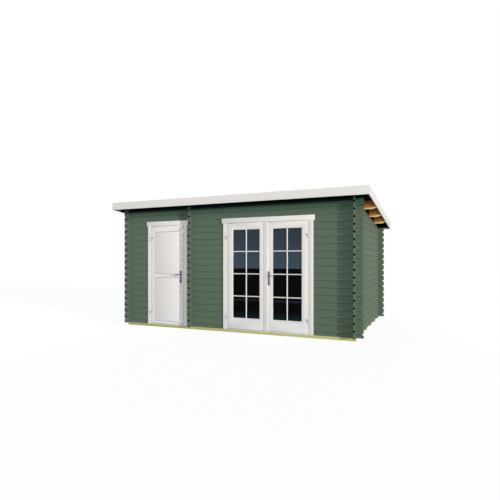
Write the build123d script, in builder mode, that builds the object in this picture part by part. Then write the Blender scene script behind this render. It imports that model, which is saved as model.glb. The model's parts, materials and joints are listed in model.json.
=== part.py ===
import os
from math import cos, radians, tan

from build123d import *

os.makedirs("parts", exist_ok=True)

# Millimetres. X runs along the front wall, the front faces -Y, the ground is at Z = 0,
# and the origin is at the middle of the house.

# Logs
log_height = 121.0
log_thickness = 28.0
joint_depth = 4.0
log_end_reach = 115.0
end_cut_length = 40.0
end_cut_height = 18.0

# Walls, between their middle planes
house_width = 4492.0
house_depth = 2942.0
partition_from_left = 1455.0

# Foundation and floor
beam_count = 6
beam_height = 50.0
beam_width = 70.0
floor_thickness = 18.0

# Pent roof, highest at the front
roof_slope = 5.0
roof_side_overhang = 250.0
roof_end_overhang = 231.0
fascia_foot = 2302.0
fascia_height = 139.0
fascia_thickness = 18.0
deck_thickness = 18.0
covering_thickness = 3.0
covering_depth_below_fascia = 2.5
purlin_count = 3
purlin_width = 45.0
purlin_below_fascia = 30.0
purlin_end_cut_length = 54.0
purlin_end_cut_height = 27.0
gable_above_fascia = 4.0
plate_below_fascia = 4.0

# Doorways and frames
courses_below_lintel = 16
single_door_to_partition = 537.5
partition_to_double_door = 1516.5
single_leaf_width = 745.0
double_leaf_width = 756.0
meeting_gap = 7.0
leaf_gap = 5.0
leaf_thickness = 40.0
threshold_height = 12.0
threshold_gap = 6.0
door_top = 1907.0
jamb_thickness = 20.0
stop_cover = 12.0
inner_casing_lap = 44.0
casing_width = 74.0
casing_thickness = 18.0
head_casing_height = 88.0
head_casing_ear = 24.0
head_casing_thickness = 24.0

# Single leaf
single_stile = 79.0
single_top_rail = 108.0
single_mid_rail = 60.0
single_bottom_rail = 43.0
lower_panel_height = 854.0
panel_thickness = 32.0
panel_recess = 3.0
panel_groove_width = 7.0
panel_groove_depth = 8.0

# Double leaves
double_stile = 113.0
double_top_rail = 109.0
double_bottom_rail = 189.0
pane_moulding = 7.0
glass_thickness = 6.0
glass_recess = 17.0
meeting_bead_width = 28.0
meeting_bead_thickness = 9.0

# Hinges
hinge_lower = 226.0
hinge_upper = 1660.0
knuckle_radius = 7.0
knuckle_length = 36.0
knuckle_standoff = 2.0
hinge_pin_radius = 4.0
hinge_pin_length = 27.0
hinge_pin_clearance = 0.3
hinge_plate_thickness = 4.0
hinge_plate_height = 22.0
hinge_strap_length = 62.0
hinge_tab_length = 26.0
hinge_play = 0.6

# Handles
plate_width = 42.0
plate_height = 250.0
plate_thickness = 6.0
plate_middle = 929.0
lever_height = 970.0
lever_radius = 8.0
lever_length = 112.0
lever_standoff = 46.0
lever_bend = 14.0
lever_clearance = 0.4
spindle_radius = 4.5
spindle_hole_radius = 6.0
plate_inset_single = 57.0
plate_inset_double = 50.0

# Derived places
wall_foot = beam_height
floor_top = wall_foot + floor_thickness
half_log = log_height / 2
half_wall = log_thickness / 2
side_wall_x = house_width / 2
partition_x = partition_from_left - side_wall_x
single_door_middle = partition_x - single_door_to_partition
double_door_middle = partition_x + partition_to_double_door
front_y = -house_depth / 2
back_y = house_depth / 2
log_end_x = side_wall_x + half_wall + log_end_reach
log_end_y = back_y + half_wall + log_end_reach
front_face_y = front_y - half_wall
front_inner_y = front_y + half_wall
fall = tan(radians(roof_slope))
roof_half_width = side_wall_x + roof_side_overhang
roof_half_depth = back_y + roof_end_overhang
fascia_inner_x = roof_half_width - fascia_thickness
fascia_inner_y = roof_half_depth - fascia_thickness
covering_top = fascia_height - covering_depth_below_fascia
deck_top = covering_top - covering_thickness / cos(radians(roof_slope))
deck_foot = deck_top - deck_thickness / cos(radians(roof_slope))
lintel_z = wall_foot + (courses_below_lintel + 0.5) * log_height
leaf_foot = wall_foot + threshold_height + threshold_gap
leaf_top = wall_foot + door_top
frame_head = leaf_top + leaf_gap
casing_face_y = front_face_y - casing_thickness
leaf_back_y = casing_face_y + leaf_thickness
lever_z = wall_foot + lever_height
hinge_axis_y = casing_face_y - knuckle_radius - knuckle_standoff
hinges_z = (wall_foot + hinge_lower, wall_foot + hinge_upper)
single_left = single_door_middle - single_leaf_width / 2
double_half = double_leaf_width + meeting_gap / 2
double_left = double_door_middle - double_half
double_right = double_door_middle + double_half
crossings_x = (-side_wall_x, partition_x, side_wall_x)
cross_walls_y = (front_y, back_y)
joint_square = joint_depth * 2 ** 0.5


def roof_line(y):
    """Height of the fascias' lower edge at a depth y."""
    return fascia_foot - (y + roof_half_depth) * fall


front_plate_z = roof_line(front_y) - plate_below_fascia
back_plate_z = roof_line(back_y) - plate_below_fascia
plates = ((front_y, front_plate_z), (back_y, back_plate_z))
purlin_pitch = house_depth / (purlin_count + 1)
purlins_y = [front_y + purlin_pitch * (i + 1) for i in range(purlin_count)]


def joints_of(first_course, top):
    """Heights of the joints between courses, up to the one just past a wall's top."""
    count = int((top - wall_foot - first_course) / log_height) + 2
    return [wall_foot + first_course + log_height * i for i in range(count)]


def save(piece, name):
    piece.part.label = name
    export_step(piece.part, f"parts/{name}.step")


def end_cuts(ends, joints):
    """Slanted cuts at the corners of the logs' ends, in an open elevation sketch."""
    with Locations(*[(end, z) for end in ends for z in joints]):
        Polygon(
            (-end_cut_length, 0), (0, end_cut_height), (end_cut_length, 0), (0, -end_cut_height),
            mode=Mode.SUBTRACT,
        )


def long_wall(name, y, left, right, foot, top):
    """A log wall along X. It starts with a half log, so its necks lie in the cross walls' notches."""
    joints = joints_of(half_log, top)
    grooves = [z for z in joints if foot <= z <= top]
    with BuildPart() as wall:
        with BuildSketch(Plane.XZ.offset(-y)):
            with Locations(((left + right) / 2, (foot + top) / 2)):
                Rectangle(right - left, top - foot)
            with Locations(*[(x, z) for x in crossings_x for z in joints]):
                Rectangle(log_thickness, half_log, mode=Mode.SUBTRACT)
            end_cuts((-log_end_x, log_end_x), joints)
        extrude(amount=half_wall, both=True)
        with BuildSketch(Plane.YZ.offset(left)):
            with Locations(*[(y + side * half_wall, z) for side in (-1, 1) for z in grooves]):
                Rectangle(joint_square, joint_square, rotation=45)
        extrude(amount=right - left, mode=Mode.SUBTRACT)
    save(wall, name)


def cross_wall(name, x):
    """A log wall along Y. It starts with a full log, follows the roof and seats the plates and purlins."""
    front_top = roof_line(-log_end_y) + gable_above_fascia
    back_top = roof_line(log_end_y) + gable_above_fascia
    joints = joints_of(log_height, front_top)
    with BuildPart() as wall:
        with BuildSketch(Plane.YZ.offset(x)):
            with BuildLine():
                Polyline(
                    (-log_end_y, wall_foot), (log_end_y, wall_foot), (log_end_y, back_top),
                    (-log_end_y, front_top), close=True,
                )
            make_face()
            with Locations(*[(y, z) for y in cross_walls_y for z in [wall_foot] + joints]):
                Rectangle(log_thickness, half_log, mode=Mode.SUBTRACT)
            with Locations(*[(y, z + log_height) for y, z in plates]):
                Rectangle(purlin_width, 2 * log_height, mode=Mode.SUBTRACT)
            with Locations(*[(y, roof_line(y) - purlin_below_fascia + log_height) for y in purlins_y]):
                Rectangle(purlin_width, 2 * log_height, mode=Mode.SUBTRACT)
            end_cuts((-log_end_y, log_end_y), joints)
        extrude(amount=half_wall, both=True)
        with BuildSketch(Plane.XZ.offset(-log_end_y)):
            with Locations(*[(x + side * half_wall, z) for side in (-1, 1) for z in joints]):
                Rectangle(joint_square, joint_square, rotation=45)
        extrude(amount=2 * log_end_y, mode=Mode.SUBTRACT)
    save(wall, name)


def roof_beam(name, places, ends_cut):
    """Beams along X under the roof boards, from (y, underside) pairs, with bevelled lower ends."""
    with BuildPart() as beam:
        with BuildSketch(Plane.YZ):
            for y, foot in places:
                low, high = y - purlin_width / 2, y + purlin_width / 2
                with BuildLine():
                    Polyline(
                        (low, foot), (high, foot), (high, roof_line(high) + deck_foot),
                        (low, roof_line(low) + deck_foot), close=True,
                    )
                make_face()
        extrude(amount=fascia_inner_x, both=True)
        if ends_cut:
            for y, foot in places:
                with BuildSketch(Plane.XZ.offset(-y)):
                    with Locations((-fascia_inner_x, foot), (fascia_inner_x, foot)):
                        Polygon(
                            (-purlin_end_cut_length, 0), (0, purlin_end_cut_height),
                            (purlin_end_cut_length, 0), (0, -purlin_end_cut_height),
                        )
                extrude(amount=purlin_width / 2, both=True, mode=Mode.SUBTRACT)
    save(beam, name)


def roof_layer(name, foot, top, half_x, half_y):
    """A sloping slab between two heights above the fascias' lower edge."""
    with BuildPart() as layer:
        with BuildSketch(Plane.YZ):
            with BuildLine():
                Polyline(
                    (-half_y, roof_line(-half_y) + foot), (half_y, roof_line(half_y) + foot),
                    (half_y, roof_line(half_y) + top), (-half_y, roof_line(-half_y) + top), close=True,
                )
            make_face()
        extrude(amount=half_x, both=True)
    save(layer, name)


def level_fascia(name, side):
    """The front (side -1) or back (side 1) fascia, with its top cut to the roof's slope."""
    outer, inner = side * roof_half_depth, side * fascia_inner_y
    foot = roof_line(outer)
    with BuildPart() as fascia:
        with BuildSketch(Plane.YZ):
            with BuildLine():
                Polyline(
                    (outer, foot), (inner, foot), (inner, roof_line(inner) + fascia_height),
                    (outer, roof_line(outer) + fascia_height), close=True,
                )
            make_face()
        extrude(amount=roof_half_width, both=True)
    save(fascia, name)


def doorway(name, middle, leaves_width):
    """Casings, jambs, head and threshold around one doorway."""
    half_leaf = leaves_width / 2
    half_gap = half_leaf + leaf_gap
    half_rough = half_gap + jamb_thickness
    half_stop = half_leaf - stop_cover
    half_inner = half_rough + inner_casing_lap
    half_casing = half_gap + casing_width
    stop_z = leaf_top - stop_cover
    inner_top = lintel_z + inner_casing_lap
    inner_y = front_inner_y + casing_thickness

    with BuildPart() as casings:
        with BuildSketch(Plane.XZ.offset(-front_face_y)):
            with Locations(*[(middle + s * (half_gap + casing_width / 2), (wall_foot + frame_head) / 2)
                             for s in (-1, 1)]):
                Rectangle(casing_width, frame_head - wall_foot)
        extrude(amount=casing_thickness)
    save(casings, f"{name}_side_casings")

    with BuildPart() as head_casing:
        with BuildSketch(Plane.XZ.offset(-front_face_y)):
            with Locations((middle, frame_head + head_casing_height / 2)):
                Rectangle(2 * (half_casing + head_casing_ear), head_casing_height)
        extrude(amount=head_casing_thickness)
    save(head_casing, f"{name}_head_casing")

    with BuildPart() as jambs:
        with BuildSketch(Plane.XY.offset(wall_foot)):
            for s in (-1, 1):
                with Locations((middle + s * (half_gap + half_rough) / 2, front_y)):
                    Rectangle(jamb_thickness, log_thickness)
        extrude(amount=frame_head - wall_foot)
        with BuildSketch(Plane.XY.offset(floor_top)):
            for s in (-1, 1):
                with Locations((middle + s * (half_stop + half_inner) / 2, (front_inner_y + inner_y) / 2)):
                    Rectangle(half_inner - half_stop, casing_thickness)
        extrude(amount=stop_z - floor_top)
    save(jambs, f"{name}_jambs")

    with BuildPart() as head:
        with BuildSketch(Plane.XZ.offset(-front_inner_y)):
            with Locations((middle, (frame_head + lintel_z) / 2)):
                Rectangle(2 * half_rough, lintel_z - frame_head)
        extrude(amount=log_thickness)
        with BuildSketch(Plane.XZ.offset(-front_inner_y)):
            with Locations((middle, (stop_z + inner_top) / 2)):
                Rectangle(2 * half_inner, inner_top - stop_z)
        extrude(amount=-casing_thickness)
        with BuildSketch(Plane.XY.offset(wall_foot)):
            with Locations((middle, (casing_face_y + front_inner_y) / 2)):
                Rectangle(2 * half_gap, front_inner_y - casing_face_y)
        extrude(amount=threshold_height)
    save(head, f"{name}_head_and_threshold")


def leaf_hinges(name, axis_x, side):
    """Straps and upper knuckles on a leaf. side is 1 where the leaf lies to the right of its hinges."""
    strap_middle = axis_x + side * hinge_strap_length / 2
    with BuildPart() as hinges:
        for z in hinges_z:
            with BuildSketch(Plane.XZ.offset(-casing_face_y)):
                with Locations((strap_middle, z + knuckle_length / 2 + hinge_play)):
                    Rectangle(hinge_strap_length, hinge_plate_height)
            extrude(amount=hinge_plate_thickness)
            with BuildSketch(Plane.XY.offset(z + hinge_play)):
                with Locations((axis_x, hinge_axis_y)):
                    Circle(knuckle_radius)
            extrude(amount=knuckle_length)
            with BuildSketch(Plane.XY.offset(z)):
                with Locations((axis_x, hinge_axis_y)):
                    Circle(hinge_pin_radius + hinge_pin_clearance)
            extrude(amount=hinge_pin_length + knuckle_standoff, mode=Mode.SUBTRACT)
    save(hinges, name)


hinge_axes = (
    (single_left - leaf_gap / 2, -1),
    (double_left - leaf_gap / 2, -1),
    (double_right + leaf_gap / 2, 1),
)

with BuildPart() as foundation_beams:
    beam_pitch = house_depth / (beam_count - 1)
    with BuildSketch(Plane.YZ.offset(-side_wall_x - half_wall)):
        with Locations(*[(front_y + beam_pitch * i, beam_height / 2) for i in range(beam_count)]):
            Rectangle(beam_width, beam_height)
    extrude(amount=house_width + log_thickness)
save(foundation_beams, "foundation_beams")

with BuildPart() as floor_boards:
    with BuildSketch(Plane.XY.offset(wall_foot)):
        for left, right in zip(crossings_x, crossings_x[1:]):
            with Locations(((left + right) / 2, 0)):
                Rectangle(right - left - log_thickness, house_depth - log_thickness)
    extrude(amount=floor_thickness)
save(floor_boards, "floor_boards")

single_rough = single_leaf_width / 2 + leaf_gap + jamb_thickness
double_rough = double_half + leaf_gap + jamb_thickness
long_wall("front_wall_left", front_y, -log_end_x, single_door_middle - single_rough, wall_foot, lintel_z)
long_wall("front_wall_middle", front_y, single_door_middle + single_rough,
          double_door_middle - double_rough, wall_foot, lintel_z)
long_wall("front_wall_right", front_y, double_door_middle + double_rough, log_end_x, wall_foot, lintel_z)
long_wall("front_wall_top", front_y, -log_end_x, log_end_x, lintel_z, front_plate_z)
long_wall("back_wall", back_y, -log_end_x, log_end_x, wall_foot, back_plate_z)
cross_wall("left_wall", -side_wall_x)
cross_wall("partition_wall", partition_x)
cross_wall("right_wall", side_wall_x)

roof_beam("front_plate", [plates[0]], False)
roof_beam("back_plate", [plates[1]], False)
roof_beam("purlins", [(y, roof_line(y) - purlin_below_fascia) for y in purlins_y], True)
roof_layer("roof_boards", deck_foot, deck_top, fascia_inner_x, fascia_inner_y)
roof_layer("roof_covering", deck_top, covering_top, fascia_inner_x, fascia_inner_y)
level_fascia("front_fascia", -1)
level_fascia("back_fascia", 1)

with BuildPart() as side_fascias:
    with BuildSketch(Plane.YZ.offset(fascia_inner_x)):
        with BuildLine():
            Polyline(
                (-fascia_inner_y, roof_line(-fascia_inner_y)), (fascia_inner_y, roof_line(fascia_inner_y)),
                (fascia_inner_y, roof_line(fascia_inner_y) + fascia_height),
                (-fascia_inner_y, roof_line(-fascia_inner_y) + fascia_height), close=True,
            )
        make_face()
    extrude(amount=fascia_thickness)
    mirror(about=Plane.YZ)
save(side_fascias, "side_fascias")

doorway("single_door", single_door_middle, single_leaf_width)
doorway("double_door", double_door_middle, 2 * double_half)

with BuildPart() as frame_hinges:
    for axis_x, side in hinge_axes:
        for z in hinges_z:
            with BuildSketch(Plane.XZ.offset(-casing_face_y)):
                with Locations((axis_x + side * hinge_tab_length / 2, z - knuckle_length / 2)):
                    Rectangle(hinge_tab_length, hinge_plate_height)
            extrude(amount=hinge_plate_thickness)
            with BuildSketch(Plane.XY.offset(z)):
                with Locations((axis_x, hinge_axis_y)):
                    Circle(knuckle_radius)
            extrude(amount=-knuckle_length)
            with BuildSketch(Plane.XY.offset(z)):
                with Locations((axis_x, hinge_axis_y)):
                    Circle(hinge_pin_radius)
            extrude(amount=hinge_pin_length)
save(frame_hinges, "frame_hinges")

leaf_hinges("single_leaf_hinges", hinge_axes[0][0], 1)
leaf_hinges("left_leaf_hinges", hinge_axes[1][0], 1)
leaf_hinges("right_leaf_hinges", hinge_axes[2][0], -1)


def leaf_frame(name, left, width, openings, moulding=0.0, spindle_x=None):
    """Stiles and rails of one leaf, moulded round its openings, drilled for a spindle."""
    with BuildPart() as leaf:
        with BuildSketch(Plane.XZ.offset(-casing_face_y)):
            with Locations((left + width / 2, (leaf_foot + leaf_top) / 2)):
                Rectangle(width, leaf_top - leaf_foot)
            for low, high, foot, top in openings:
                with Locations(((low + high) / 2, (foot + top) / 2)):
                    Rectangle(high - low, top - foot, mode=Mode.SUBTRACT)
        extrude(amount=-leaf_thickness)
        if moulding:
            for side in (0, -1):
                face = leaf.faces().sort_by(Axis.Y)[side]
                chamfer([edge for wire in face.inner_wires() for edge in wire.edges()], length=moulding)
        if spindle_x is not None:
            with BuildSketch(Plane.XZ.offset(-casing_face_y)):
                with Locations((spindle_x, lever_z)):
                    Circle(spindle_hole_radius)
            extrude(amount=-leaf_thickness, mode=Mode.SUBTRACT)
    save(leaf, name)


def meeting_bead(name, edge, side):
    """The bead that covers half of the gap between the double leaves. side is -1 left of the gap."""
    with BuildPart() as bead:
        with BuildSketch(Plane.XZ.offset(-casing_face_y)):
            with Locations((edge + side * meeting_bead_width / 2, (leaf_foot + leaf_top) / 2)):
                Rectangle(meeting_bead_width, leaf_top - leaf_foot)
        extrude(amount=meeting_bead_thickness)
    save(bead, name)


def leaf_glass(name, low, high, foot, top):
    with BuildPart() as glass:
        with BuildSketch(Plane.XZ.offset(-casing_face_y - glass_recess)):
            with Locations(((low + high) / 2, (foot + top) / 2)):
                Rectangle(high - low, top - foot)
        extrude(amount=-glass_thickness)
    save(glass, name)


def handle_plates(name, x):
    """Plates on both faces of a leaf, with a hole for the lever's neck."""
    with BuildPart() as plates_pair:
        for face_y, outward in ((casing_face_y, 1), (leaf_back_y, -1)):
            with BuildSketch(Plane.XZ.offset(-face_y)):
                with Locations((x, wall_foot + plate_middle)):
                    SlotOverall(plate_height, plate_width, rotation=90)
                with Locations((x, lever_z)):
                    Circle(lever_radius + lever_clearance, mode=Mode.SUBTRACT)
            extrude(amount=outward * plate_thickness)
    save(plates_pair, name)


def lever(name, x, side):
    """Outer and inner lever on one spindle, pointing to side -1 (left) or 1 (right)."""
    outer_y = casing_face_y - lever_standoff
    inner_y = leaf_back_y + lever_standoff
    with BuildPart() as handle:
        for start_y, end_y in (
            (casing_face_y - lever_clearance, outer_y),
            (leaf_back_y + lever_clearance, inner_y),
        ):
            with BuildLine(Plane.XY.offset(lever_z)) as path:
                FilletPolyline((x, start_y), (x, end_y), (x + side * lever_length, end_y), radius=lever_bend)
            with BuildSketch(Plane(path.line @ 0, z_dir=path.line % 0)):
                Circle(lever_radius)
            sweep(path=path.line)
        with BuildSketch(Plane.XZ.offset(-casing_face_y + lever_clearance)):
            with Locations((x, lever_z)):
                Circle(spindle_radius)
        extrude(amount=-leaf_thickness - 2 * lever_clearance)
    save(handle, name)


def leaf_panels(name, openings):
    """Panels nearly flush with both faces of a leaf, with a groove around them."""
    with BuildPart() as panels:
        for inset, depth in ((0, panel_groove_depth), (panel_groove_width, 0)):
            with BuildSketch(Plane.XZ.offset(-casing_face_y - panel_recess - depth)):
                for low, high, foot, top in openings:
                    with Locations(((low + high) / 2, (foot + top) / 2)):
                        Rectangle(high - low - 2 * inset, top - foot - 2 * inset)
            extrude(amount=2 * depth - panel_thickness)
    save(panels, name)


single_panels_foot = leaf_foot + single_bottom_rail
single_panels = [
    (single_left + single_stile, single_left + single_leaf_width - single_stile, foot, top)
    for foot, top in (
        (single_panels_foot, single_panels_foot + lower_panel_height),
        (single_panels_foot + lower_panel_height + single_mid_rail, leaf_top - single_top_rail),
    )
]
single_spindle = single_left + single_leaf_width - plate_inset_single
leaf_frame("single_leaf_frame", single_left, single_leaf_width, single_panels, spindle_x=single_spindle)
leaf_panels("single_leaf_panels", single_panels)
handle_plates("single_handle_plates", single_spindle)
lever("single_lever", single_spindle, -1)

glass_foot, glass_top = leaf_foot + double_bottom_rail, leaf_top - double_top_rail
right_leaf_left = double_right - double_leaf_width
right_spindle = right_leaf_left + plate_inset_double
for leaf_name, left, spindle_x, meeting_edge, side in (
    ("left_leaf", double_left, None, double_left + double_leaf_width, -1),
    ("right_leaf", right_leaf_left, right_spindle, right_leaf_left, 1),
):
    pane = (left + double_stile, left + double_leaf_width - double_stile, glass_foot, glass_top)
    leaf_frame(f"{leaf_name}_frame", left, double_leaf_width, [pane], pane_moulding, spindle_x)
    leaf_glass(f"{leaf_name}_glass", *pane)
    meeting_bead(f"{leaf_name}_meeting_bead", meeting_edge, side)

handle_plates("right_leaf_handle_plates", right_spindle)
lever("right_leaf_lever", right_spindle, 1)
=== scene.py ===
import json
import math

import bmesh
import bpy
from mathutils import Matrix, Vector


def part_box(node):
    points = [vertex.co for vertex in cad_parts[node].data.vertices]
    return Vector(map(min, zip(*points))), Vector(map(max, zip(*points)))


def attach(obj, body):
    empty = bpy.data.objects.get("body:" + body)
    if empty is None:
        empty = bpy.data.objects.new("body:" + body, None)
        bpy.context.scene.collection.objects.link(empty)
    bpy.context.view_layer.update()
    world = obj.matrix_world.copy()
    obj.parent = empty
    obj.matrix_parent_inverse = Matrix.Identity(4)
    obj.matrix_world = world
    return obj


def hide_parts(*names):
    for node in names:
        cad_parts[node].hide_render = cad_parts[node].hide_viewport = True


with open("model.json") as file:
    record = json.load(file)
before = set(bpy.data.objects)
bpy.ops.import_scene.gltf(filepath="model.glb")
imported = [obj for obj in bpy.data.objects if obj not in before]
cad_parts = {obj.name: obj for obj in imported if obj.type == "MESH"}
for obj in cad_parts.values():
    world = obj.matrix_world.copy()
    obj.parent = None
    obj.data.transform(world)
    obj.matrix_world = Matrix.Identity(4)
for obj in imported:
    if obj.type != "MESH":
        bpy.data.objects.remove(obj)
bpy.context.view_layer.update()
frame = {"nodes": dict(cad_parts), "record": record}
nodes = frame["nodes"]
bodyOf = {node: body for body, members in frame["record"]["behaviour"]["bodies"].items() for node in members}
slotOf = {part["node"]: part["material_slot"] for part in frame["record"]["subparts"]}
collection = bpy.context.scene.collection
print("frame loaded:", len(nodes), "nodes")


class Wire:
    # an output socket that takes + - * / with numbers and with other wires
    def __init__(self, graph, socket):
        self.graph = graph
        self.socket = socket

    def math(self, operation, first, second):
        return self.graph.node("ShaderNodeMath", {"operation": operation}, {0: first, 1: second})

    def __add__(self, other):
        return self.math("ADD", self, other)

    def __radd__(self, other):
        return self.math("ADD", other, self)

    def __sub__(self, other):
        return self.math("SUBTRACT", self, other)

    def __rsub__(self, other):
        return self.math("SUBTRACT", other, self)

    def __mul__(self, other):
        return self.math("MULTIPLY", self, other)

    def __rmul__(self, other):
        return self.math("MULTIPLY", other, self)

    def __truediv__(self, other):
        return self.math("DIVIDE", self, other)

    def __rtruediv__(self, other):
        return self.math("DIVIDE", other, self)

    def __gt__(self, other):
        return self.math("GREATER_THAN", self, other)

    def __lt__(self, other):
        return self.math("LESS_THAN", self, other)


class Graph:
    # a node tree, with one way to add a node to it
    def __init__(self, tree):
        self.tree = tree

    def pick(self, sockets, key):
        if isinstance(key, int):
            return sockets[key]
        found = [socket for socket in sockets if socket.identifier == key]
        return found[0] if found else sockets[key]

    def node(self, kind, settings=None, inputs=None, output=0):
        made = self.tree.nodes.new(kind)
        for name, value in (settings or {}).items():
            if name == "stops":
                ramp = made.color_ramp
                while len(ramp.elements) < len(value):
                    ramp.elements.new(0.5)
                for element, (position, colour) in zip(ramp.elements, value):
                    element.position = position
                    element.color = (*colour, 1.0)
            else:
                setattr(made, name, value)
        for key, value in (inputs or {}).items():
            socket = self.pick(made.inputs, key)
            for part in value if isinstance(value, list) else [value]:
                if isinstance(part, Wire):
                    self.tree.links.new(part.socket, socket)
                else:
                    socket.default_value = part
        return Wire(self, self.pick(made.outputs, output)) if made.outputs else None

    def mix(self, factor, first, second, blend="MIX"):
        return self.node(
            "ShaderNodeMix",
            {"data_type": "RGBA", "blend_type": blend},
            {"Factor_Float": factor, "A_Color": first, "B_Color": second},
            "Result_Color",
        )

    def between(self, value, low, high, first=0.0, second=1.0):
        return self.node(
            "ShaderNodeMapRange",
            {"interpolation_type": "SMOOTHSTEP"},
            {"Value": value, "From Min": low, "From Max": high, "To Min": first, "To Max": second},
        )

    def place(self):
        return self.node("ShaderNodeTexCoord", output="Object")

    def scaled(self, vector, factors):
        return self.node("ShaderNodeVectorMath", {"operation": "MULTIPLY"}, {0: vector, 1: factors})

    def axes(self, vector):
        x = self.node("ShaderNodeSeparateXYZ", inputs={"Vector": vector})
        return [Wire(self, socket) for socket in x.socket.node.outputs]

    def noise(self, vector, scale, detail=3.0, roughness=0.55):
        return self.node(
            "ShaderNodeTexNoise", {},
            {"Vector": vector, "Scale": scale, "Detail": detail, "Roughness": roughness},
        )

    def bump(self, height, strength, distance):
        return self.node(
            "ShaderNodeBump", {}, {"Height": height, "Strength": strength, "Distance": distance}, "Normal"
        )


def colour(red, green, blue):
    return (red, green, blue, 1.0)


def material(name, build):
    made = bpy.data.materials.new(name)
    made.use_nodes = True
    made.node_tree.nodes.clear()
    graph = Graph(made.node_tree)
    graph.node("ShaderNodeOutputMaterial", inputs={"Surface": build(graph)})
    return made


def surface(graph, base, roughness, normal=None, **constants):
    inputs = {"Base Color": base, "Roughness": roughness}
    if normal is not None:
        inputs["Normal"] = normal
    inputs.update({name.replace("_", " "): value for name, value in constants.items()})
    return graph.node("ShaderNodeBsdfPrincipled", inputs=inputs)


def softwood(graph, along, knotScale=3.2):
    # fibres, growth figure, knots and slow drift of softwood that runs along one axis
    place = graph.place()
    index = "XYZ".index(along)
    stretched = graph.scaled(place, tuple(0.05 if i == index else 1.0 for i in range(3)))
    drawn = graph.scaled(place, tuple(0.22 if i == index else 1.0 for i in range(3)))
    fibre = graph.noise(stretched, 260.0, 3.0, 0.6)
    knotDistance = graph.node(
        "ShaderNodeTexVoronoi", {"feature": "F1"}, {"Vector": place, "Scale": knotScale}, "Distance"
    )
    knot = graph.between(knotDistance, 0.028, 0.058, 1.0, 0.0)
    halo = graph.between(knotDistance, 0.03, 0.20, 1.0, 0.0)
    swirl = graph.noise(drawn, 3.0, 2.0, 0.5)
    bend = swirl * 0.10 + halo * 0.035
    bent = graph.node(
        "ShaderNodeVectorMath", {"operation": "ADD"},
        {0: graph.scaled(place, tuple(0.0 if i == index else 1.0 for i in range(3))),
         1: graph.node("ShaderNodeCombineXYZ", inputs={"X": bend, "Y": bend, "Z": bend})},
    )
    figure = graph.node(
        "ShaderNodeTexWave", {"wave_type": "RINGS", "rings_direction": along, "wave_profile": "SAW"},
        {"Vector": bent, "Scale": 22.0, "Distortion": 0.6, "Detail": 1.0, "Detail Scale": 1.0}, 1,
    )
    drift = graph.noise(place, 1.1, 2.0, 0.5)
    return place, fibre, figure, knot, drift


# Painted logs

logPaint = {
    # painted light: the cross logs' paint (Y) is darker than the long logs' (X), offsetting the stronger lamp on the
    # side walls
    "paint": {"X": colour(0.114, 0.161, 0.112), "Y": colour(0.104, 0.139, 0.098)},
    "worn": {"X": colour(0.126, 0.172, 0.121), "Y": colour(0.115, 0.150, 0.106)},
    "deep": colour(0.066, 0.100, 0.068),
    "joint": colour(0.014, 0.026, 0.016),
    "endPaint": colour(0.124, 0.180, 0.126),
    "logHeight": 0.121,
    "foot": 0.050,
    "jointHalf": 0.0048,
    # painted shade: teal-dark paint under the front eave, where its shade falls
    "eaveShade": colour(0.022, 0.067, 0.046),
    "eaveShadeFrom": 0.26,
    "shadowLine": colour(0.003, 0.007, 0.004),
    "shadowLineFrom": 0.028,
    # painted shade: near-black on the notch faces at the logs' ends
    "notchShade": colour(0.003, 0.007, 0.004),
    "notchLength": 0.040,
    "notchHalf": 0.018,
}
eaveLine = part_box("front_plate")[0].z


def logMaterial(name, along, shift, reach):
    def build(graph):
        place, fibre, figure, knot, drift = softwood(graph, along)
        x, y, z = graph.axes(place)
        course = (z - (logPaint["foot"] + shift)) / logPaint["logHeight"]
        logNumber = graph.node("ShaderNodeMath", {"operation": "FLOOR"}, {0: course})
        logTone = graph.node(
            "ShaderNodeTexWhiteNoise", {"noise_dimensions": "1D"}, {"W": logNumber + 7.3}, "Value"
        )
        fromJoint = graph.node("ShaderNodeMath", {"operation": "PINGPONG"}, {0: course, 1: 0.5})
        joint = graph.between(fromJoint * logPaint["logHeight"], 0.0012, logPaint["jointHalf"], 1.0, 0.0)
        facing = graph.node("ShaderNodeTexCoord", output="Normal")
        outwards = graph.axes(facing)["XYZ".index(along)]
        endGrain = graph.node("ShaderNodeMath", {"operation": "ABSOLUTE"}, {0: outwards}) > 0.6
        tone = logTone * 0.5 + drift * 0.5
        paint = graph.mix(
            graph.between(tone, 0.25, 0.75) * 0.6, logPaint["paint"][along], logPaint["worn"][along]
        )
        paint = graph.mix((1.0 - fibre) * 0.30, paint, logPaint["deep"])
        paint = graph.mix(figure * 0.08, paint, logPaint["deep"])
        paint = graph.mix(knot * 0.30, paint, logPaint["deep"])
        paint = graph.mix(endGrain * 0.7, paint, logPaint["endPaint"])
        paint = graph.mix(joint * (1.0 - endGrain * 0.6) * 0.62, paint, logPaint["joint"])
        # painted shade: under the front eave the paint darkens to teal, a near-black painted shadow line runs along
        # the front wall's top, and the notches in the logs' ends are painted near-black as shade
        front = graph.between(y, -1.30, -1.44)
        eaveShadeMask = graph.between(z, eaveLine - logPaint["eaveShadeFrom"], eaveLine + 0.02)
        paint = graph.mix(front * eaveShadeMask * 0.8, paint, logPaint["eaveShade"])
        if along == "X":
            line = (z > eaveLine - logPaint["shadowLineFrom"]) * (y < -1.44) * (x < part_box("right_wall")[0].x)
            paint = graph.mix(line, paint, logPaint["shadowLine"])
        # painted shade: the notch faces at the logs' ends are painted near-black
        position = graph.node("ShaderNodeMath", {"operation": "ABSOLUTE"}, {0: (x, y)["XY".index(along)]})
        inward = (reach - position) / logPaint["notchLength"]
        edge = (1.0 - inward) * logPaint["notchHalf"] + 0.0008
        notchShade = (fromJoint * logPaint["logHeight"] < edge) * (inward < 1.0)
        paint = graph.mix(notchShade, paint, logPaint["notchShade"])
        height = fibre * 0.5 + figure * 0.4 + knot * 0.5
        roughness = 0.62 + fibre * 0.14
        return surface(
            graph, paint, roughness, graph.bump(height, 0.28, 0.0012), Specular_IOR_Level=0.10
        )
    return material(name, build)


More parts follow.
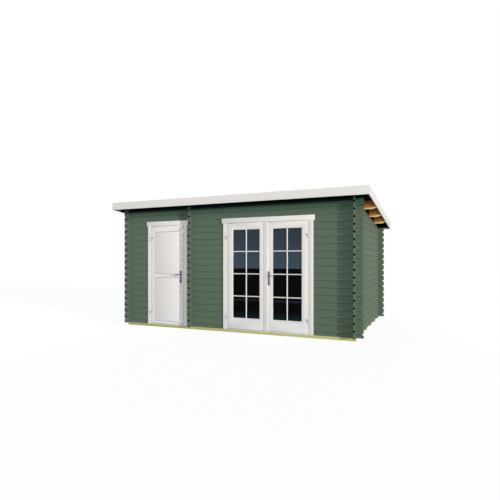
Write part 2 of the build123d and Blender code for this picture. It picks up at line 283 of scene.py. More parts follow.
longLogs = logMaterial("longLogPaint", "X", logPaint["logHeight"] / 2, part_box("back_wall")[1].x)
crossLogs = logMaterial("crossLogPaint", "Y", 0.0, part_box("left_wall")[1].y)


# White timber

whitePaint = {
    # painted light: casings and leaves (Z) are paler to lift their shade, the side fascias (Y) darker against their
    # stronger lamp
    "paint": {
        "X": colour(0.730, 0.705, 0.665), "Y": colour(0.680, 0.655, 0.625), "Z": colour(0.842, 0.800, 0.754),
    },
    "shadow": colour(0.69, 0.665, 0.62),
    # painted light: the front fascia's left end is painted paler to even out its dimmer light
    "paleEndLight": colour(0.865, 0.840, 0.795),  # the front fascia's paler left end
    # painted light: a bluish paint low on the whites stands in for cool bounce light near the ground
    "foot": colour(0.780, 0.785, 0.800),
    "coolLightTop": 0.62,
    "groove": (-1.4990, -1.4950),  # where the groove round a panel begins and is full, along Y
    "panelMiddle": -1.484,  # the grooves behind it are left plain
    # painted shade: grey paint in the groove round each panel
    "grooveShade": colour(0.38, 0.38, 0.385),
}


def whiteMaterial(name, along, tone, grooved=False, paleEndLight=None):
    def build(graph):
        place, fibre, figure, knot, drift = softwood(graph, along, 2.6)
        paint = graph.mix(
            graph.between(drift, 0.3, 0.8) * 0.12, whitePaint["paint"][tone], whitePaint["shadow"]
        )
        # painted light: paler paint towards the front fascia's left end
        if paleEndLight:
            paint = graph.mix(graph.between(graph.axes(place)[0], *paleEndLight), paint, whitePaint["paleEndLight"])
        # painted light: the whites turn bluish towards their foot
        foot = graph.between(graph.axes(place)[2], 0.05, whitePaint["coolLightTop"], 1.0, 0.0)
        paint = graph.mix(foot * 0.75, paint, whitePaint["foot"])
        paint = graph.mix((1.0 - fibre) * 0.10, paint, whitePaint["shadow"])
        paint = graph.mix(knot * 0.22, paint, whitePaint["shadow"])
        if grooved:
            # painted shade: the groove round each panel's front is painted grey
            y = graph.axes(place)[1]
            grooveShadeDepth = graph.between(y, *whitePaint["groove"]) * (y < whitePaint["panelMiddle"])
            paint = graph.mix(grooveShadeDepth * 0.9, paint, whitePaint["grooveShade"])
        height = fibre * 0.35 + figure * 0.5 + knot * 0.4
        return surface(
            graph, paint, 0.50 + drift * 0.12, graph.bump(height, 0.16, 0.0008), Specular_IOR_Level=0.2
        )
    return material(name, build)


whiteAlong = {axis: whiteMaterial("whitePaint" + axis, axis, axis) for axis in "XYZ"}
whitePanel = whiteMaterial("whitePanel", "Z", "Z", grooved=True)
whiteHead = whiteMaterial("whiteHead", "X", "Z")
whiteFront = whiteMaterial("whiteFront", "X", "X", paleEndLight=(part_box("roof_covering")[1].x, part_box("roof_covering")[0].x))


# Bare and treated timber

timberTones = {
    "pine": (colour(0.86, 0.49, 0.17), colour(0.70, 0.33, 0.085), colour(0.26, 0.085, 0.022)),
    "purlin": (colour(0.97, 0.47, 0.12), colour(0.92, 0.24, 0.04), colour(0.32, 0.09, 0.02)),
    "treated": (colour(0.56, 0.55, 0.23), colour(0.42, 0.42, 0.15), colour(0.13, 0.13, 0.05)),
    # painted shade: near-black timber for the plates, the deck's underside and the purlins inside, where shade falls
    "shadeBlack": (colour(0.003, 0.007, 0.004), colour(0.002, 0.005, 0.003), colour(0.001, 0.002, 0.0015)),
    "floor": (colour(0.30, 0.19, 0.09), colour(0.20, 0.11, 0.045), colour(0.07, 0.03, 0.015)),
}


def timberMaterial(name, tones, along, roughness, gloss=0.25):
    light, grainTone, knotTone = tones

    def build(graph):
        place, fibre, figure, knot, drift = softwood(graph, along, 4.2)
        wood = graph.mix(figure * 0.55, light, grainTone)
        wood = graph.mix((1.0 - fibre) * 0.45, wood, grainTone)
        wood = graph.mix(graph.between(drift, 0.35, 0.75) * 0.3, wood, grainTone)
        wood = graph.mix(knot * 0.85, wood, knotTone)
        height = fibre * 0.5 + figure * 0.4
        return surface(
            graph, wood, roughness + fibre * 0.12, graph.bump(height, 0.25, 0.001), Specular_IOR_Level=gloss
        )
    return material(name, build)


def buildPurlin(graph):
    # orange heartwood, with a painted sunlit strip along each beam's lower edge; painted black as shade inside the
    # house
    place, fibre, figure, knot, drift = softwood(graph, "X", 9.0)
    x, y, z = graph.axes(place)
    light, grainTone, knotTone = timberTones["purlin"]
    speck = graph.noise(graph.scaled(place, (0.5, 1.0, 1.0)), 46.0, 3.0, 0.7)
    wood = graph.mix(figure * 0.5, light, grainTone)
    wood = graph.mix(graph.between(speck, 0.42, 0.58) * 0.75, wood, grainTone)
    wood = graph.mix(knot * 0.85, wood, knotTone)
    low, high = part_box("purlins")
    foot = low.z + (high.y - 0.0225 - y) * roofFall
    # painted light: a pale sunlit strip along each purlin's lower edge
    edge = graph.between(z - foot, purlinSunStrip["height"] * 0.75, purlinSunStrip["height"], 1.0, 0.0)
    wood = graph.mix(edge * 0.9, wood, purlinSunStrip["tone"])
    # painted shade: the purlins are painted near-black inside the house
    inside = graph.node("ShaderNodeMath", {"operation": "ABSOLUTE"}, {0: x}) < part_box("right_wall")[1].x
    wood = graph.mix(inside, wood, timberTones["shadeBlack"][0])
    height = fibre * 0.5 + figure * 0.4
    return surface(
        graph, wood, 0.5 + fibre * 0.12, graph.bump(height, 0.25, 0.001), Specular_IOR_Level=0.25
    )


roofFall = math.tan(math.radians(5.0))
# painted light: the tone and height of the sunlit strip along each purlin's lower edge
purlinSunStrip = {"height": 0.025, "tone": colour(0.95, 0.76, 0.34)}
pineAlong = {axis: timberMaterial("pine" + axis, timberTones["pine"], axis, 0.55) for axis in "XYZ"}
purlinPine = material("purlinPine", buildPurlin)
# painted shade: near-black boards and plates stand in for the shade under the roof
shadeBlackBoards = timberMaterial("shadeBlackBoards", timberTones["shadeBlack"], "Y", 0.8, 0.03)
treatedPine = timberMaterial("treatedPine", timberTones["treated"], "X", 0.7)
shadeBlackPine = timberMaterial("shadeBlackPine", timberTones["shadeBlack"], "X", 0.8, 0.03)
floorPine = timberMaterial("floorPine", timberTones["floor"], "Y", 0.5)


# Roof felt, steel and glass

def buildFelt(graph):
    place = graph.place()
    grit = graph.node("ShaderNodeTexVoronoi", {"feature": "F1"}, {"Vector": place, "Scale": 620.0}, "Color")
    gritTone = graph.axes(grit)[0]
    cloud = graph.noise(place, 2.2, 4.0, 0.6)
    felt = graph.mix(gritTone, colour(0.022, 0.023, 0.025), colour(0.085, 0.086, 0.090))
    felt = graph.mix(graph.between(cloud, 0.45, 0.75) * 0.35, felt, colour(0.075, 0.075, 0.068))
    return surface(graph, felt, 0.88, graph.bump(gritTone, 0.5, 0.0012), Specular_IOR_Level=0.2)


def steelMaterial(name, bright, dull, roughness):
    def build(graph):
        place = graph.place()
        brushed = graph.noise(graph.scaled(place, (1.0, 1.0, 0.04)), 900.0, 2.0, 0.5)
        smudge = graph.noise(place, 34.0, 3.0, 0.6)
        metal = graph.mix(brushed * 0.5 + smudge * 0.5, dull, bright)
        return surface(
            graph, metal, roughness + smudge * 0.14, graph.bump(brushed, 0.12, 0.0003), Metallic=0.9
        )
    return material(name, build)


def buildGlass(graph):
    # painted reflection: the panes carry a painted pale sky above a level line and a painted dark ground, with a
    # glimmer band and teal low down, below it
    place = graph.place()
    x, y, z = graph.axes(place)
    waves = graph.noise(place, 7.0, 2.0, 0.5)
    height = z + (waves - 0.5) * 0.004
    skyReflectionMask = graph.between(height, 1.146, 1.152)
    glimmerReflection = graph.between(height, 0.565, 0.585) * graph.between(height, 0.585, 0.61, 1.0, 0.0)
    tealReflection = graph.between(height, 0.25, 0.42, 1.0, 0.0)
    skyReflectionTone = graph.mix(graph.between(height, 1.15, 1.85), colour(0.050, 0.084, 0.118), colour(0.024, 0.045, 0.064))
    groundReflectionTone = graph.mix(tealReflection, colour(0.0035, 0.0035, 0.004), colour(0.006, 0.026, 0.029))
    groundReflectionTone = graph.mix(glimmerReflection, groundReflectionTone, colour(0.03, 0.035, 0.055))
    mirrorSide = surface(graph, skyReflectionTone, 0.03, Alpha=0.62, Specular_IOR_Level=0.26)
    darkSide = surface(graph, groundReflectionTone, 0.08, Alpha=0.62, Specular_IOR_Level=0.02)
    return graph.node("ShaderNodeMixShader", inputs={0: skyReflectionMask, 1: darkSide, 2: mirrorSide})


felt = material("roofFelt", buildFelt)
satinSteel = steelMaterial("satinSteel", colour(0.21, 0.225, 0.27), colour(0.11, 0.12, 0.155), 0.34)
leverSteel = steelMaterial("leverSteel", colour(0.26, 0.275, 0.33), colour(0.14, 0.15, 0.19), 0.26)
keySteel = steelMaterial("keySteel", colour(0.016, 0.017, 0.024), colour(0.008, 0.009, 0.013), 0.38)
hingeSteel = steelMaterial("hingeSteel", colour(0.54, 0.545, 0.56), colour(0.40, 0.405, 0.42), 0.42)
paneGlass = material("paneGlass", buildGlass)
paneGlass.surface_render_method = "BLENDED"
print("finishes made:", len(bpy.data.materials))


# Every carried-over node gets the finish of what it is made of

nodeFinish = {
    "foundation_beams": treatedPine,
    "floor_boards": floorPine,
    "front_plate": shadeBlackPine,
    "back_plate": shadeBlackPine,
    "purlins": purlinPine,
    "roof_boards": shadeBlackBoards,
    "roof_covering": felt,
    "front_fascia": whiteFront,
    "back_fascia": whiteAlong["X"],
    "side_fascias": whiteAlong["Y"],
    "single_leaf_panels": whitePanel,
}
for name in nodes:
    if slotOf[name] == "painted_logs":
        nodeFinish[name] = crossLogs if name in ("left_wall", "right_wall", "partition_wall") else longLogs
    elif slotOf[name] == "glass":
        nodeFinish[name] = paneGlass
    elif slotOf[name] == "steel":
        nodeFinish[name] = hingeSteel if "hinges" in name else leverSteel if "lever" in name else satinSteel
    elif slotOf[name] == "white_timber" and name not in nodeFinish:
        nodeFinish[name] = whiteHead if "head" in name else whiteAlong["Z"]
for name, finish in nodeFinish.items():
    mesh = nodes[name].data
    mesh.materials.clear()
    mesh.materials.append(finish)
print("nodes finished:", len(nodeFinish))


# Pieces made here

def placed(name, mesh, body, replaced=()):
    # a finished piece at the origin that rides on a body
    piece = bpy.data.objects.new(name, mesh)
    collection.objects.link(piece)
    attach(piece, body)
    if replaced:
        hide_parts(*replaced)
    return piece


def crisp(mesh):
    # smooth over small turns only, so that flat faces stay flat
    mesh.polygons.foreach_set("use_smooth", [True] * len(mesh.polygons))
    mesh.set_sharp_from_angle(angle=math.radians(32.0))
    return mesh


def grown(name, build, sizes, start=None):
    # the plain mesh that a Geometry Nodes tree makes from its named sizes
    holder = bpy.data.objects.new(name, start or bpy.data.meshes.new(name))
    collection.objects.link(holder)
    tree = bpy.data.node_groups.new(name + "Tree", "GeometryNodeTree")
    tree.interface.new_socket("Geometry", in_out="INPUT", socket_type="NodeSocketGeometry")
    tree.interface.new_socket("Geometry", in_out="OUTPUT", socket_type="NodeSocketGeometry")
    keys = {}
    for label, value in sizes.items():
        kind = "NodeSocketInt" if isinstance(value, int) else "NodeSocketFloat"
        keys[label] = tree.interface.new_socket(label, in_out="INPUT", socket_type=kind).identifier
    graph = Graph(tree)
    entry = graph.node("NodeGroupInput")
    wires = {label: Wire(graph, graph.pick(entry.socket.node.outputs, key)) for label, key in keys.items()}
    wires["start"] = entry
    graph.node("NodeGroupOutput", inputs={"Geometry": build(graph, wires)})
    modifier = holder.modifiers.new("shape", "NODES")
    modifier.node_group = tree
    for label, value in sizes.items():
        modifier[keys[label]] = value
    evaluated = holder.evaluated_get(bpy.context.evaluated_depsgraph_get())
    made = bpy.data.meshes.new_from_object(evaluated)
    holder.modifiers.remove(modifier)
    bpy.data.objects.remove(holder)
    made.name = name
    used = [finish for finish in made.materials if finish]
    made.materials.clear()
    for finish in used:
        made.materials.append(finish)
    made.polygons.foreach_set("material_index", [0] * len(made.polygons))
    return crisp(made)


def joined(name, meshes):
    # several meshes in one, each with its own material
    whole = bmesh.new()
    finishes = []
    for mesh in meshes:
        shift = len(finishes)
        finishes.extend(mesh.materials)
        faces = len(whole.faces)
        whole.from_mesh(mesh)
        whole.faces.ensure_lookup_table()
        for face in whole.faces[faces:]:
            face.material_index += shift
    made = bpy.data.meshes.new(name)
    whole.to_mesh(made)
    whole.free()
    for finish in finishes:
        made.materials.append(finish)
    return made


def vector(graph, x, y, z):
    return graph.node("ShaderNodeCombineXYZ", inputs={"X": x, "Y": y, "Z": z})


def moved(graph, geometry, translation, rotation=(0.0, 0.0, 0.0)):
    return graph.node(
        "GeometryNodeTransform",
        inputs={"Geometry": geometry, "Translation": translation, "Rotation": rotation},
    )


def swept(graph, profile, length, axis):
    # a straight length of a profile, centred, along one axis
    ends = [vector(graph, *[length * half if letter == axis else 0.0 for letter in "XYZ"]) for half in (-0.5, 0.5)]
    rail = graph.node(
        "GeometryNodeCurvePrimitiveLine", {"mode": "POINTS"}, {"Start": ends[0], "End": ends[1]}
    )
    return graph.node(
        "GeometryNodeCurveToMesh", {}, {"Curve": rail, "Profile Curve": profile, "Fill Caps": True}
    )


def eased(graph, profile, radius, count):
    return graph.node(
        "GeometryNodeFilletCurve", {"mode": "POLY"},
        {"Curve": profile, "Radius": radius, "Count": count, "Limit Radius": True},
    )


def row(graph, made, count, start, step, rotation=(0.0, 0.0, 0.0)):
    # copies of one shape at equal steps
    places = graph.node(
        "GeometryNodeMeshLine", {"mode": "OFFSET"}, {"Count": count, "Start Location": start, "Offset": step}
    )
    return graph.node(
        "GeometryNodeInstanceOnPoints", inputs={"Points": places, "Instance": made, "Rotation": rotation}
    )


def closed(graph, geometry, finish):
    real = graph.node("GeometryNodeRealizeInstances", inputs={"Geometry": geometry})
    return graph.node("GeometryNodeSetMaterial", inputs={"Geometry": real, "Material": finish})


# Boards of the roof and of both floors

boardSizes = {"cover": 0.0955, "joint": 0.0012, "ease": 0.0030, "endGap": 0.001, "tongue": 0.005}
roofSlope = math.radians(5.0)


def boardRow(name, finish, low, high, slope=0.0):
    # boards side by side along X, each lying along Y, chamfered at the joints, with tongues that close them
    count = round((high.x - low.x) / boardSizes["cover"])
    thickness = (high.z - low.z - math.tan(slope) * (high.y - low.y)) * math.cos(slope)
    middle = (low + high) / 2

    def build(graph, size):
        profile = graph.node(
            "GeometryNodeCurvePrimitiveQuadrilateral", {"mode": "RECTANGLE"},
            {"Width": size["Pitch"] - size["Joint"], "Height": size["Thickness"]},
        )
        board = swept(graph, eased(graph, profile, size["Ease"], 1), size["Length"], "Y")
        step = vector(graph, size["Pitch"], 0.0, 0.0)
        start = vector(graph, (size["Count"] - 1.0) * size["Pitch"] * -0.5, 0.0, 0.0)
        boards = row(graph, board, size["Count"], start, step)
        narrow = graph.node(
            "GeometryNodeCurvePrimitiveQuadrilateral", {"mode": "RECTANGLE"},
            {"Width": size["Joint"] + size["Tongue"] * 2.0, "Height": size["Thickness"] * 0.3},
        )
        tongue = swept(graph, narrow, size["Length"], "Y")
        firstJoint = vector(graph, (size["Count"] - 2.0) * size["Pitch"] * -0.5, 0.0, 0.0)
        tongues = row(graph, tongue, size["Count"] - 1.0, firstJoint, step)
        laid = graph.node("GeometryNodeJoinGeometry", inputs={"Geometry": [boards, tongues]})
        return moved(graph, closed(graph, laid, finish), tuple(middle), (-slope, 0.0, 0.0))

    return grown(name, build, {
        "Count": count, "Pitch": (high.x - low.x) / count, "Thickness": thickness,
        "Length": (high.y - low.y) / math.cos(slope) - 2 * boardSizes["endGap"],
        "Joint": boardSizes["joint"], "Ease": boardSizes["ease"], "Tongue": boardSizes["tongue"],
    })


deckLow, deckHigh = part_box("roof_boards")
placed("roofBoardRow", boardRow("roofBoardRow", shadeBlackBoards, deckLow, deckHigh, roofSlope),
       "house", ["roof_boards"])
floorLow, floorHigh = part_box("floor_boards")
partitionLow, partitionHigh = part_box("partition_wall")
rooms = [
    boardRow("storeFloor", floorPine, floorLow, Vector((partitionLow.x, floorHigh.y, floorHigh.z))),
    boardRow("mainFloor", floorPine, Vector((partitionHigh.x, floorLow.y, floorLow.z)), floorHigh),
]
placed("floorBoardRows", joined("floorBoardRows", rooms), "house", ["floor_boards"])
print("boards laid")


# Roof felt, in strips that lap towards the low back edge

feltSizes = {"strips": 4, "lap": 0.10, "thickness": 0.0014, "endGap": 0.001}


def feltStrips(name):
    low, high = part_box("roof_covering")
    slant = (high.y - low.y) / math.cos(roofSlope) - 2 * feltSizes["endGap"]
    width = (slant + (feltSizes["strips"] - 1) * feltSizes["lap"]) / feltSizes["strips"]
    pitch = (width - feltSizes["lap"])
    lift = feltSizes["thickness"] / pitch
    deckMiddle = (low.z + high.z) / 2 - (high.z - low.z - math.tan(roofSlope) * (high.y - low.y)) / 2

    def build(graph, size):
        profile = graph.node(
            "GeometryNodeCurvePrimitiveQuadrilateral", {"mode": "RECTANGLE"},
            {"Width": size["Width"], "Height": size["Thickness"]},
        )
        strip = swept(graph, profile, size["Length"], "X")
        start = vector(graph, 0.0, (size["Count"] - 1.0) * size["Pitch"] * -0.5, 0.0)
        strips = row(
            graph, strip, size["Count"], start, vector(graph, 0.0, size["Pitch"], 0.0), (lift, 0.0, 0.0)
        )
        height = deckMiddle + feltSizes["thickness"] * 1.05
        return moved(
            graph, closed(graph, strips, felt), (0.0, (low.y + high.y) / 2, height), (-roofSlope, 0.0, 0.0)
        )

    return grown(name, build, {
        "Count": feltSizes["strips"], "Pitch": pitch, "Width": width, "Thickness": feltSizes["thickness"],
        "Length": high.x - low.x - 2 * feltSizes["endGap"],
    })


placed("feltStrips", feltStrips("feltStrips"), "house", ["roof_covering"])
print("roof felt laid")


# Glazing bars and beads of the double door

barSizes = {
    "width": 0.022, "nose": 0.012, "innerNose": 0.020, "bead": 0.008, "recess": 0.004, "ease": 0.002,
    "across": 2, "up": 4,
}


def glazing(name, glass, leafFrame):
    glassLow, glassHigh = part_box(glass)
    frameLow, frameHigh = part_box(leafFrame)
    middle = (glassLow + glassHigh) / 2
    wide, bead = barSizes["width"], barSizes["bead"]
    sides = []
    for label, foot, tip, front, back, finish in (
        ("Outer", glassLow.y, frameLow.y + barSizes["recess"], barSizes["nose"], wide, whiteAlong["Z"]),
        ("Inner", glassHigh.y, frameHigh.y - barSizes["recess"], wide, barSizes["innerNose"], pineAlong["Z"]),
    ):
        def build(graph, size):
            def profile(front, back):
                made = graph.node(
                    "GeometryNodeCurvePrimitiveQuadrilateral", {"mode": "TRAPEZOID"},
                    {"Height": size["Depth"], "Bottom Width": front, "Top Width": back, "Offset": 0.0},
                )
                return eased(graph, made, size["Ease"], 3)

            def pair(axis, made, count, step):
                way = [1.0 if letter == axis else 0.0 for letter in "XYZ"]
                start = step * (count - 1.0) * -0.5
                return row(graph, made, count, vector(graph, *[start * w for w in way]),
                           vector(graph, *[step * w for w in way]))

            def level(shape):
                upright = swept(graph, shape, inside, "Z")
                return moved(graph, upright, (0.0, 0.0, 0.0), (0.0, math.radians(90.0), 0.0))

            bar = profile(size["Front Width"], size["Back Width"])
            edge = profile(size["Bead"], size["Bead"])
            inside = size["Span"] - size["Bead"] * 2.0
            parts = [
                pair("X", swept(graph, bar, size["Height"], "Z"), size["Across"] - 1.0, size["Span"] / size["Across"]),
                pair("Z", level(bar), size["Up"] - 1.0, size["Height"] / size["Up"]),
                pair("X", swept(graph, edge, size["Height"], "Z"), 2, size["Span"] - size["Bead"]),
                pair("Z", level(edge), 2, size["Height"] - size["Bead"]),
            ]
            both = graph.node("GeometryNodeJoinGeometry", inputs={"Geometry": parts})
            return moved(graph, closed(graph, both, finish), (middle.x, (foot + tip) / 2, middle.z))

        sides.append(grown(name + label, build, {
            "Span": glassHigh.x - glassLow.x, "Height": glassHigh.z - glassLow.z,
            "Across": barSizes["across"], "Up": barSizes["up"], "Front Width": front, "Back Width": back,
            "Bead": bead, "Depth": abs(tip - foot), "Ease": barSizes["ease"],
        }))
    return joined(name, sides)


for leaf in ("left_leaf", "right_leaf"):
    placed(leaf + "_bars", glazing(leaf + "_bars", leaf + "_glass", leaf + "_frame"), leaf)
print("glazing bars set")


# Timber and metal with their edges eased, each a copy of its node

easedEdges = {
    "foundation_beams": 0.0025, "front_plate": 0.002, "back_plate": 0.002, "purlins": 0.0025,
    "front_fascia": 0.0015, "back_fascia": 0.0015, "side_fascias": 0.0015,
    "single_door_side_casings": 0.002, "single_door_head_casing": 0.002, "single_door_jambs": 0.001,
    "single_door_head_and_threshold": 0.0012, "double_door_side_casings": 0.002,
    "double_door_head_casing": 0.002, "double_door_jambs": 0.001, "double_door_head_and_threshold": 0.0012,
    "single_leaf_frame": 0.0015, "single_leaf_panels": 0.001, "left_leaf_frame": 0.0015,
    "right_leaf_frame": 0.0015, "left_leaf_meeting_bead": 0.002, "right_leaf_meeting_bead": 0.002,
    "single_handle_plates": 0.0015, "right_leaf_handle_plates": 0.0015, "frame_hinges": 0.0006,
    "single_leaf_hinges": 0.0006, "left_leaf_hinges": 0.0006, "right_leaf_hinges": 0.0006,
    "single_lever": 0.0015, "right_leaf_lever": 0.0015,
}
easing = {"weld": 0.00002, "flat": math.radians(1.0), "sharp": math.radians(40.0), "steps": 2}


def easedCopy(node, width):
    shape = bmesh.new()
    shape.from_mesh(nodes[node].data)
    bmesh.ops.remove_doubles(shape, verts=shape.verts, dist=easing["weld"])
    bmesh.ops.dissolve_limit(shape, angle_limit=easing["flat"], verts=shape.verts, edges=shape.edges)
    outer = [edge for edge in shape.edges
             if len(edge.link_faces) == 2 and edge.is_convex and edge.calc_face_angle() > easing["sharp"]]
    bmesh.ops.bevel(
        shape, geom=outer, offset=width, offset_type="OFFSET", segments=easing["steps"], profile=0.5,
        affect="EDGES", clamp_overlap=True,
    )
    bmesh.ops.triangulate(shape, faces=[face for face in shape.faces if len(face.verts) > 4])
    mesh = bpy.data.meshes.new(node + "_eased")
    shape.to_mesh(mesh)
    shape.free()
    mesh.materials.append(nodeFinish[node])
    return crisp(mesh)


for node, width in easedEdges.items():
    placed(node + "_eased", easedCopy(node, width), bodyOf[node], [node])
print("edges eased:", len(easedEdges))


# Screws and nails

headSizes = {
    "screw": {"radius": 0.0038, "crown": 0.0030, "proud": 0.0008, "sunk": 0.002, "cross": 0.0009},
    "nail": {"radius": 0.0026, "crown": 0.0014, "proud": 0.0006, "sunk": 0.002, "cross": 0.0},
    "clout": {"radius": 0.0050, "crown": 0.0020, "proud": 0.0009, "sunk": 0.001, "cross": 0.0},
}
turns = {
    "-Y": (math.radians(90.0), 0.0, 0.0), "Y": (math.radians(-90.0), 0.0, 0.0),
    "X": (0.0, math.radians(90.0), 0.0), "-X": (0.0, math.radians(-90.0), 0.0),
    "up": (-roofSlope, 0.0, 0.0),
}


def heads(name, kind, facing, points, finish):
    # one small head on every point, all facing one way; a cross is cut in a screw's head
    spots = bpy.data.meshes.new(name + "Spots")
    spots.from_pydata(points, [], [])
    sizes = headSizes[kind]

    def build(graph, size):
        head = graph.node(
            "GeometryNodeMeshCone", {"fill_type": "NGON"},
            {"Vertices": 12, "Radius Top": size["Crown"], "Radius Bottom": size["Radius"],
             "Depth": size["Proud"] + size["Sunk"]},
        )
        head = moved(graph, head, vector(graph, 0.0, 0.0, size["Sunk"] * -1.0))
        if sizes["cross"]:
            slots = [graph.node("GeometryNodeMeshCube", {}, {"Size": vector(
                graph, *[size["Cross"] if letter != axis else size["Crown"] * 1.5 for letter in "XYZ"])})
                for axis in "XY"]
            slots = [moved(graph, slot, vector(graph, 0.0, 0.0, size["Proud"])) for slot in slots]
            head = graph.node(
                "GeometryNodeMeshBoolean", {"operation": "DIFFERENCE", "solver": "EXACT"},
                {"Mesh 1": head, "Mesh 2": slots},
            )
        seated = graph.node(
            "GeometryNodeInstanceOnPoints",
            inputs={"Points": size["start"], "Instance": head, "Rotation": turns[facing]},
        )
        return closed(graph, seated, finish)

    return grown(name, build, {
        "Radius": sizes["radius"], "Crown": sizes["crown"], "Proud": sizes["proud"], "Sunk": sizes["sunk"],
        "Cross": sizes["cross"],
    }, spots)


def spread(low, high, step):
    # even places from low to high, about a step apart
    count = max(1, round((high - low) / step))
    return [low + (high - low) * i / count for i in range(count + 1)]


fixing = {
    "strapScrews": (0.024, 0.041, 0.056), "tabScrew": 0.0185, "knuckle": 0.007, "knuckleLength": 0.036,
    "strapThickness": 0.004, "plateThickness": 0.006, "plateScrew": 0.111, "casingEdge": 0.018,
    "casingStep": 0.42, "headStep": 0.30,
}
tabScrews = []
for leaf in ("single_leaf", "left_leaf", "right_leaf"):
    leafLow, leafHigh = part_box(leaf + "_hinges")
    faceY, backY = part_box(leaf + "_frame")[0].y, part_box(leaf + "_frame")[1].y
    side = -1.0 if leaf == "right_leaf" else 1.0
    axisX = leafLow.x + fixing["knuckle"] if side > 0 else leafHigh.x - fixing["knuckle"]
    half = fixing["knuckleLength"] / 2
    strapZ = (leafLow.z + half, leafHigh.z - half)
    strapY = faceY - fixing["strapThickness"]
    meshes = [heads(leaf + "StrapScrews", "screw", "-Y",
                    [(axisX + side * way, strapY, z) for z in strapZ for way in fixing["strapScrews"]], satinSteel)]
    tabScrews += [(axisX - side * fixing["tabScrew"], strapY, z - 2 * half) for z in strapZ]
    plates = {"single_leaf": "single_handle_plates", "right_leaf": "right_leaf_handle_plates"}.get(leaf)
    if plates:
        plateLow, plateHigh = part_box(plates)
        plateMiddle = (plateLow + plateHigh) / 2
        for facing, y in (("-Y", plateLow.y), ("Y", plateHigh.y)):
            spots = [(plateMiddle.x, y, plateMiddle.z + way * fixing["plateScrew"]) for way in (-1, 1)]
            meshes.append(heads(leaf + "PlateScrews" + facing, "screw", facing, spots, leverSteel))
    placed(leaf + "_screws", joined(leaf + "_screws", meshes), leaf)
placed("frame_hinge_screws", heads("frame_hinge_screws", "screw", "-Y", tabScrews, satinSteel), "house")

casingSpots = []
for door in ("single_door", "double_door"):
    low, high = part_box(door + "_side_casings")
    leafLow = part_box(door + "_head_casing")[0]
    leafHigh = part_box(door + "_head_casing")[1]
    edge = fixing["casingEdge"]
    columns = (low.x + edge, low.x + 0.074 - edge, high.x - 0.074 + edge, high.x - edge)
    casingSpots += [(x, low.y, z) for x in columns for z in spread(low.z + 0.08, high.z - 0.08, fixing["casingStep"])]
    across = spread(leafLow.x + 0.05, leafHigh.x - 0.05, fixing["headStep"])
    casingSpots += [(x, leafLow.y, z) for x in across for z in (leafLow.z + edge, leafHigh.z - edge)]
placed("casing_nails", heads("casing_nails", "nail", "-Y", casingSpots, whiteAlong["Z"]), "house")

feltLow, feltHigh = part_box("roof_covering")
feltLength = (feltHigh.y - feltLow.y) / math.cos(roofSlope) - 2 * feltSizes["endGap"]
feltWidth = (feltLength + (feltSizes["strips"] - 1) * feltSizes["lap"]) / feltSizes["strips"]
cloutSizes = {"edge": 0.022, "step": 0.10}
cloutRows = [
    (i - (feltSizes["strips"] - 1) / 2) * (feltWidth - feltSizes["lap"]) + feltWidth / 2 - cloutSizes["edge"]
    for i in range(feltSizes["strips"])
]
nailX = feltHigh.x - cloutSizes["edge"]
cloutPlaces = [(x, v) for v in cloutRows for x in spread(-nailX, nailX, cloutSizes["step"])]
cloutPlaces += [(x, v) for x in (-nailX, nailX) for v in spread(-feltLength / 2 + 0.03, cloutRows[-1], 0.16)]
cloutPlaces += [(x, -feltLength / 2 + cloutSizes["edge"]) for x in spread(-nailX, nailX, 2 * cloutSizes["step"])]


def onFelt(x, along):
    # a place on top of the felt, from how far it lies down the slope
    strip = feltWidth - feltSizes["lap"]
    number = max(0, min(feltSizes["strips"] - 1, math.ceil((along + feltLength / 2 - feltWidth) / strip)))
    middle = (number - (feltSizes["strips"] - 1) / 2) * strip
    rise = feltSizes["thickness"] * (0.5 + 1.05 + (along - middle) / strip)
    return (
        x,
        (feltLow.y + feltHigh.y) / 2 + along * math.cos(roofSlope) + rise * math.sin(roofSlope),
        deckTop - along * math.sin(roofSlope) + rise * math.cos(roofSlope),
    )


deckTop = (deckLow.z + deckHigh.z) / 2 + (deckHigh.z - deckLow.z - math.tan(roofSlope) * (deckHigh.y - deckLow.y)) / 2
clouts = heads("felt_nails", "clout", "up", [onFelt(x, along) for x, along in cloutPlaces], hingeSteel)
placed("felt_nails", clouts, "house")
print("screws and nails set")


# Key cylinders in the handle plates

cylinderSizes = {"width": 0.017, "height": 0.033, "below": 0.080, "proud": 0.002, "slot": 0.0016}


def keyCylinders(name, plates):
    low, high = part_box(plates)
    middle = (low + high) / 2

    def build(graph, size):
        profile = graph.node(
            "GeometryNodeCurvePrimitiveQuadrilateral", {"mode": "RECTANGLE"},
            {"Width": size["Width"], "Height": size["Height"]},
        )
        barrel = swept(graph, eased(graph, profile, size["Width"] * 0.499, 6), size["Depth"], "Y")
        slot = graph.node("GeometryNodeMeshCube", {}, {"Size": vector(
            graph, size["Slot"], size["Depth"] + 0.002, size["Width"] * 0.7)})
        slot = moved(graph, slot, vector(graph, 0.0, 0.0, size["Height"] * 0.2))
        barrel = graph.node(
            "GeometryNodeMeshBoolean", {"operation": "DIFFERENCE", "solver": "EXACT"},
            {"Mesh 1": barrel, "Mesh 2": [slot]},
        )
        spot = (middle.x, middle.y, middle.z - cylinderSizes["below"])
        return moved(graph, closed(graph, barrel, keySteel), spot)

    return grown(name, build, {
        "Width": cylinderSizes["width"], "Height": cylinderSizes["height"], "Slot": cylinderSizes["slot"],
        "Depth": high.y - low.y + 2 * cylinderSizes["proud"],
    })


for leaf, plates in (("single_leaf", "single_handle_plates"), ("right_leaf", "right_leaf_handle_plates")):
    placed(leaf + "_key_cylinder", keyCylinders(leaf + "_key_cylinder", plates), leaf)
print("key cylinders set")


# Stage

stageSize = {"floor": 60.0, "tone": 0.80, "seenTone": 0.22, "glow": 0.88}


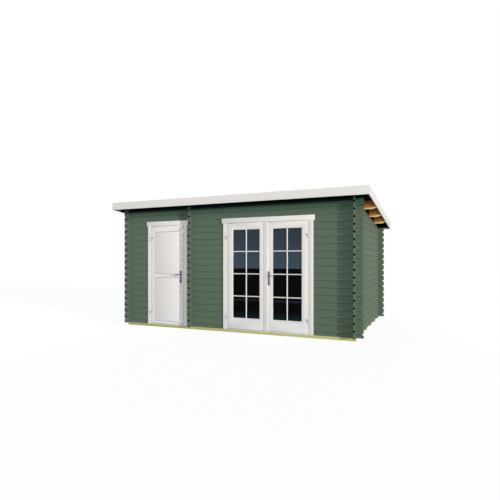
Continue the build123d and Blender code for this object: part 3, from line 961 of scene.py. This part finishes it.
def buildFloor(graph):
    # the floor keeps a soft shadow; what the camera and mirrors see of it is lifted to white
    rays = graph.node("ShaderNodeLightPath", output="Is Camera Ray")
    seen = rays + Wire(graph, rays.socket.node.outputs["Is Glossy Ray"])
    seen = seen + Wire(graph, rays.socket.node.outputs["Is Transmission Ray"])
    seen = graph.node("ShaderNodeMath", {"operation": "MINIMUM"}, {0: seen, 1: 1.0})
    glow = graph.node("ShaderNodeEmission", inputs={"Color": colour(1, 1, 1), "Strength": stageSize["glow"]})
    matt = [graph.node("ShaderNodeBsdfDiffuse", inputs={"Color": colour(*[stageSize[key]] * 3)})
            for key in ("tone", "seenTone")]
    shown = graph.node("ShaderNodeAddShader", inputs={0: glow, 1: matt[1]})
    return graph.node("ShaderNodeMixShader", inputs={0: seen, 1: matt[0], 2: shown})


floorMesh = bpy.data.meshes.new("studioFloor")
half = stageSize["floor"]
floorMesh.from_pydata([(-half, -half, 0), (half, -half, 0), (half, half, 0), (-half, half, 0)], [], [(0, 1, 2, 3)])
floor = bpy.data.objects.new("studioFloor", floorMesh)
collection.objects.link(floor)
floorMesh.materials.append(material("paleFloor", buildFloor))

world = bpy.data.worlds.new("studioWorld")
bpy.context.scene.world = world
world.use_nodes = True
world.node_tree.nodes.clear()
air = Graph(world.node_tree)
rays = air.node("ShaderNodeLightPath", output="Is Camera Ray")
seen = rays + Wire(air, rays.socket.node.outputs["Is Glossy Ray"])
seen = seen + Wire(air, rays.socket.node.outputs["Is Transmission Ray"])
seen = air.node("ShaderNodeMath", {"operation": "MINIMUM"}, {0: seen, 1: 1.0})
ambient = air.node("ShaderNodeBackground", inputs={"Color": colour(0.90, 0.97, 1.04), "Strength": 0.33})
white = air.node("ShaderNodeBackground", inputs={"Color": colour(1, 1, 1), "Strength": 1.0})
air.node(
    "ShaderNodeOutputWorld",
    inputs={"Surface": air.node("ShaderNodeMixShader", inputs={0: seen, 1: ambient, 2: white})},
)


def sun(name, azimuth, elevation, strength, tint, spread):
    # azimuth is from the front wall's normal towards +X
    lamp = bpy.data.lights.new(name, "SUN")
    lamp.energy = strength
    lamp.color = tint
    lamp.angle = math.radians(spread)
    holder = bpy.data.objects.new(name, lamp)
    across = math.cos(math.radians(elevation))
    towards = Vector((
        math.sin(math.radians(azimuth)) * across,
        -math.cos(math.radians(azimuth)) * across,
        math.sin(math.radians(elevation)),
    ))
    holder.rotation_euler = towards.to_track_quat("Z", "Y").to_euler()
    collection.objects.link(holder)


sun("keyLamp", 67.5, 8.5, 2.68, (1.0, 0.965, 0.91), 1.5)
sun("frontFill", 10.0, 2.5, 0.85, (0.94, 0.98, 1.03), 9.0)
sun("backFill", 200.0, 14.0, 1.3, (1.0, 0.99, 0.97), 40.0)

cameraData = bpy.data.cameras.new("photoCamera")
cameraData.sensor_width = 36.0
cameraData.lens = 30.196
cameraData.shift_y = 0.022
cameraData.clip_end = 400.0
camera = bpy.data.objects.new("photoCamera", cameraData)
camera.location = (3.389, -8.285, 1.2805)
camera.rotation_euler = (math.radians(90.0), 0.0, math.radians(23.63))
collection.objects.link(camera)
bpy.context.scene.camera = camera
bpy.context.scene.view_settings.view_transform = "Standard"
print("stage, lamps and camera set")

bpy.context.view_layer.update()
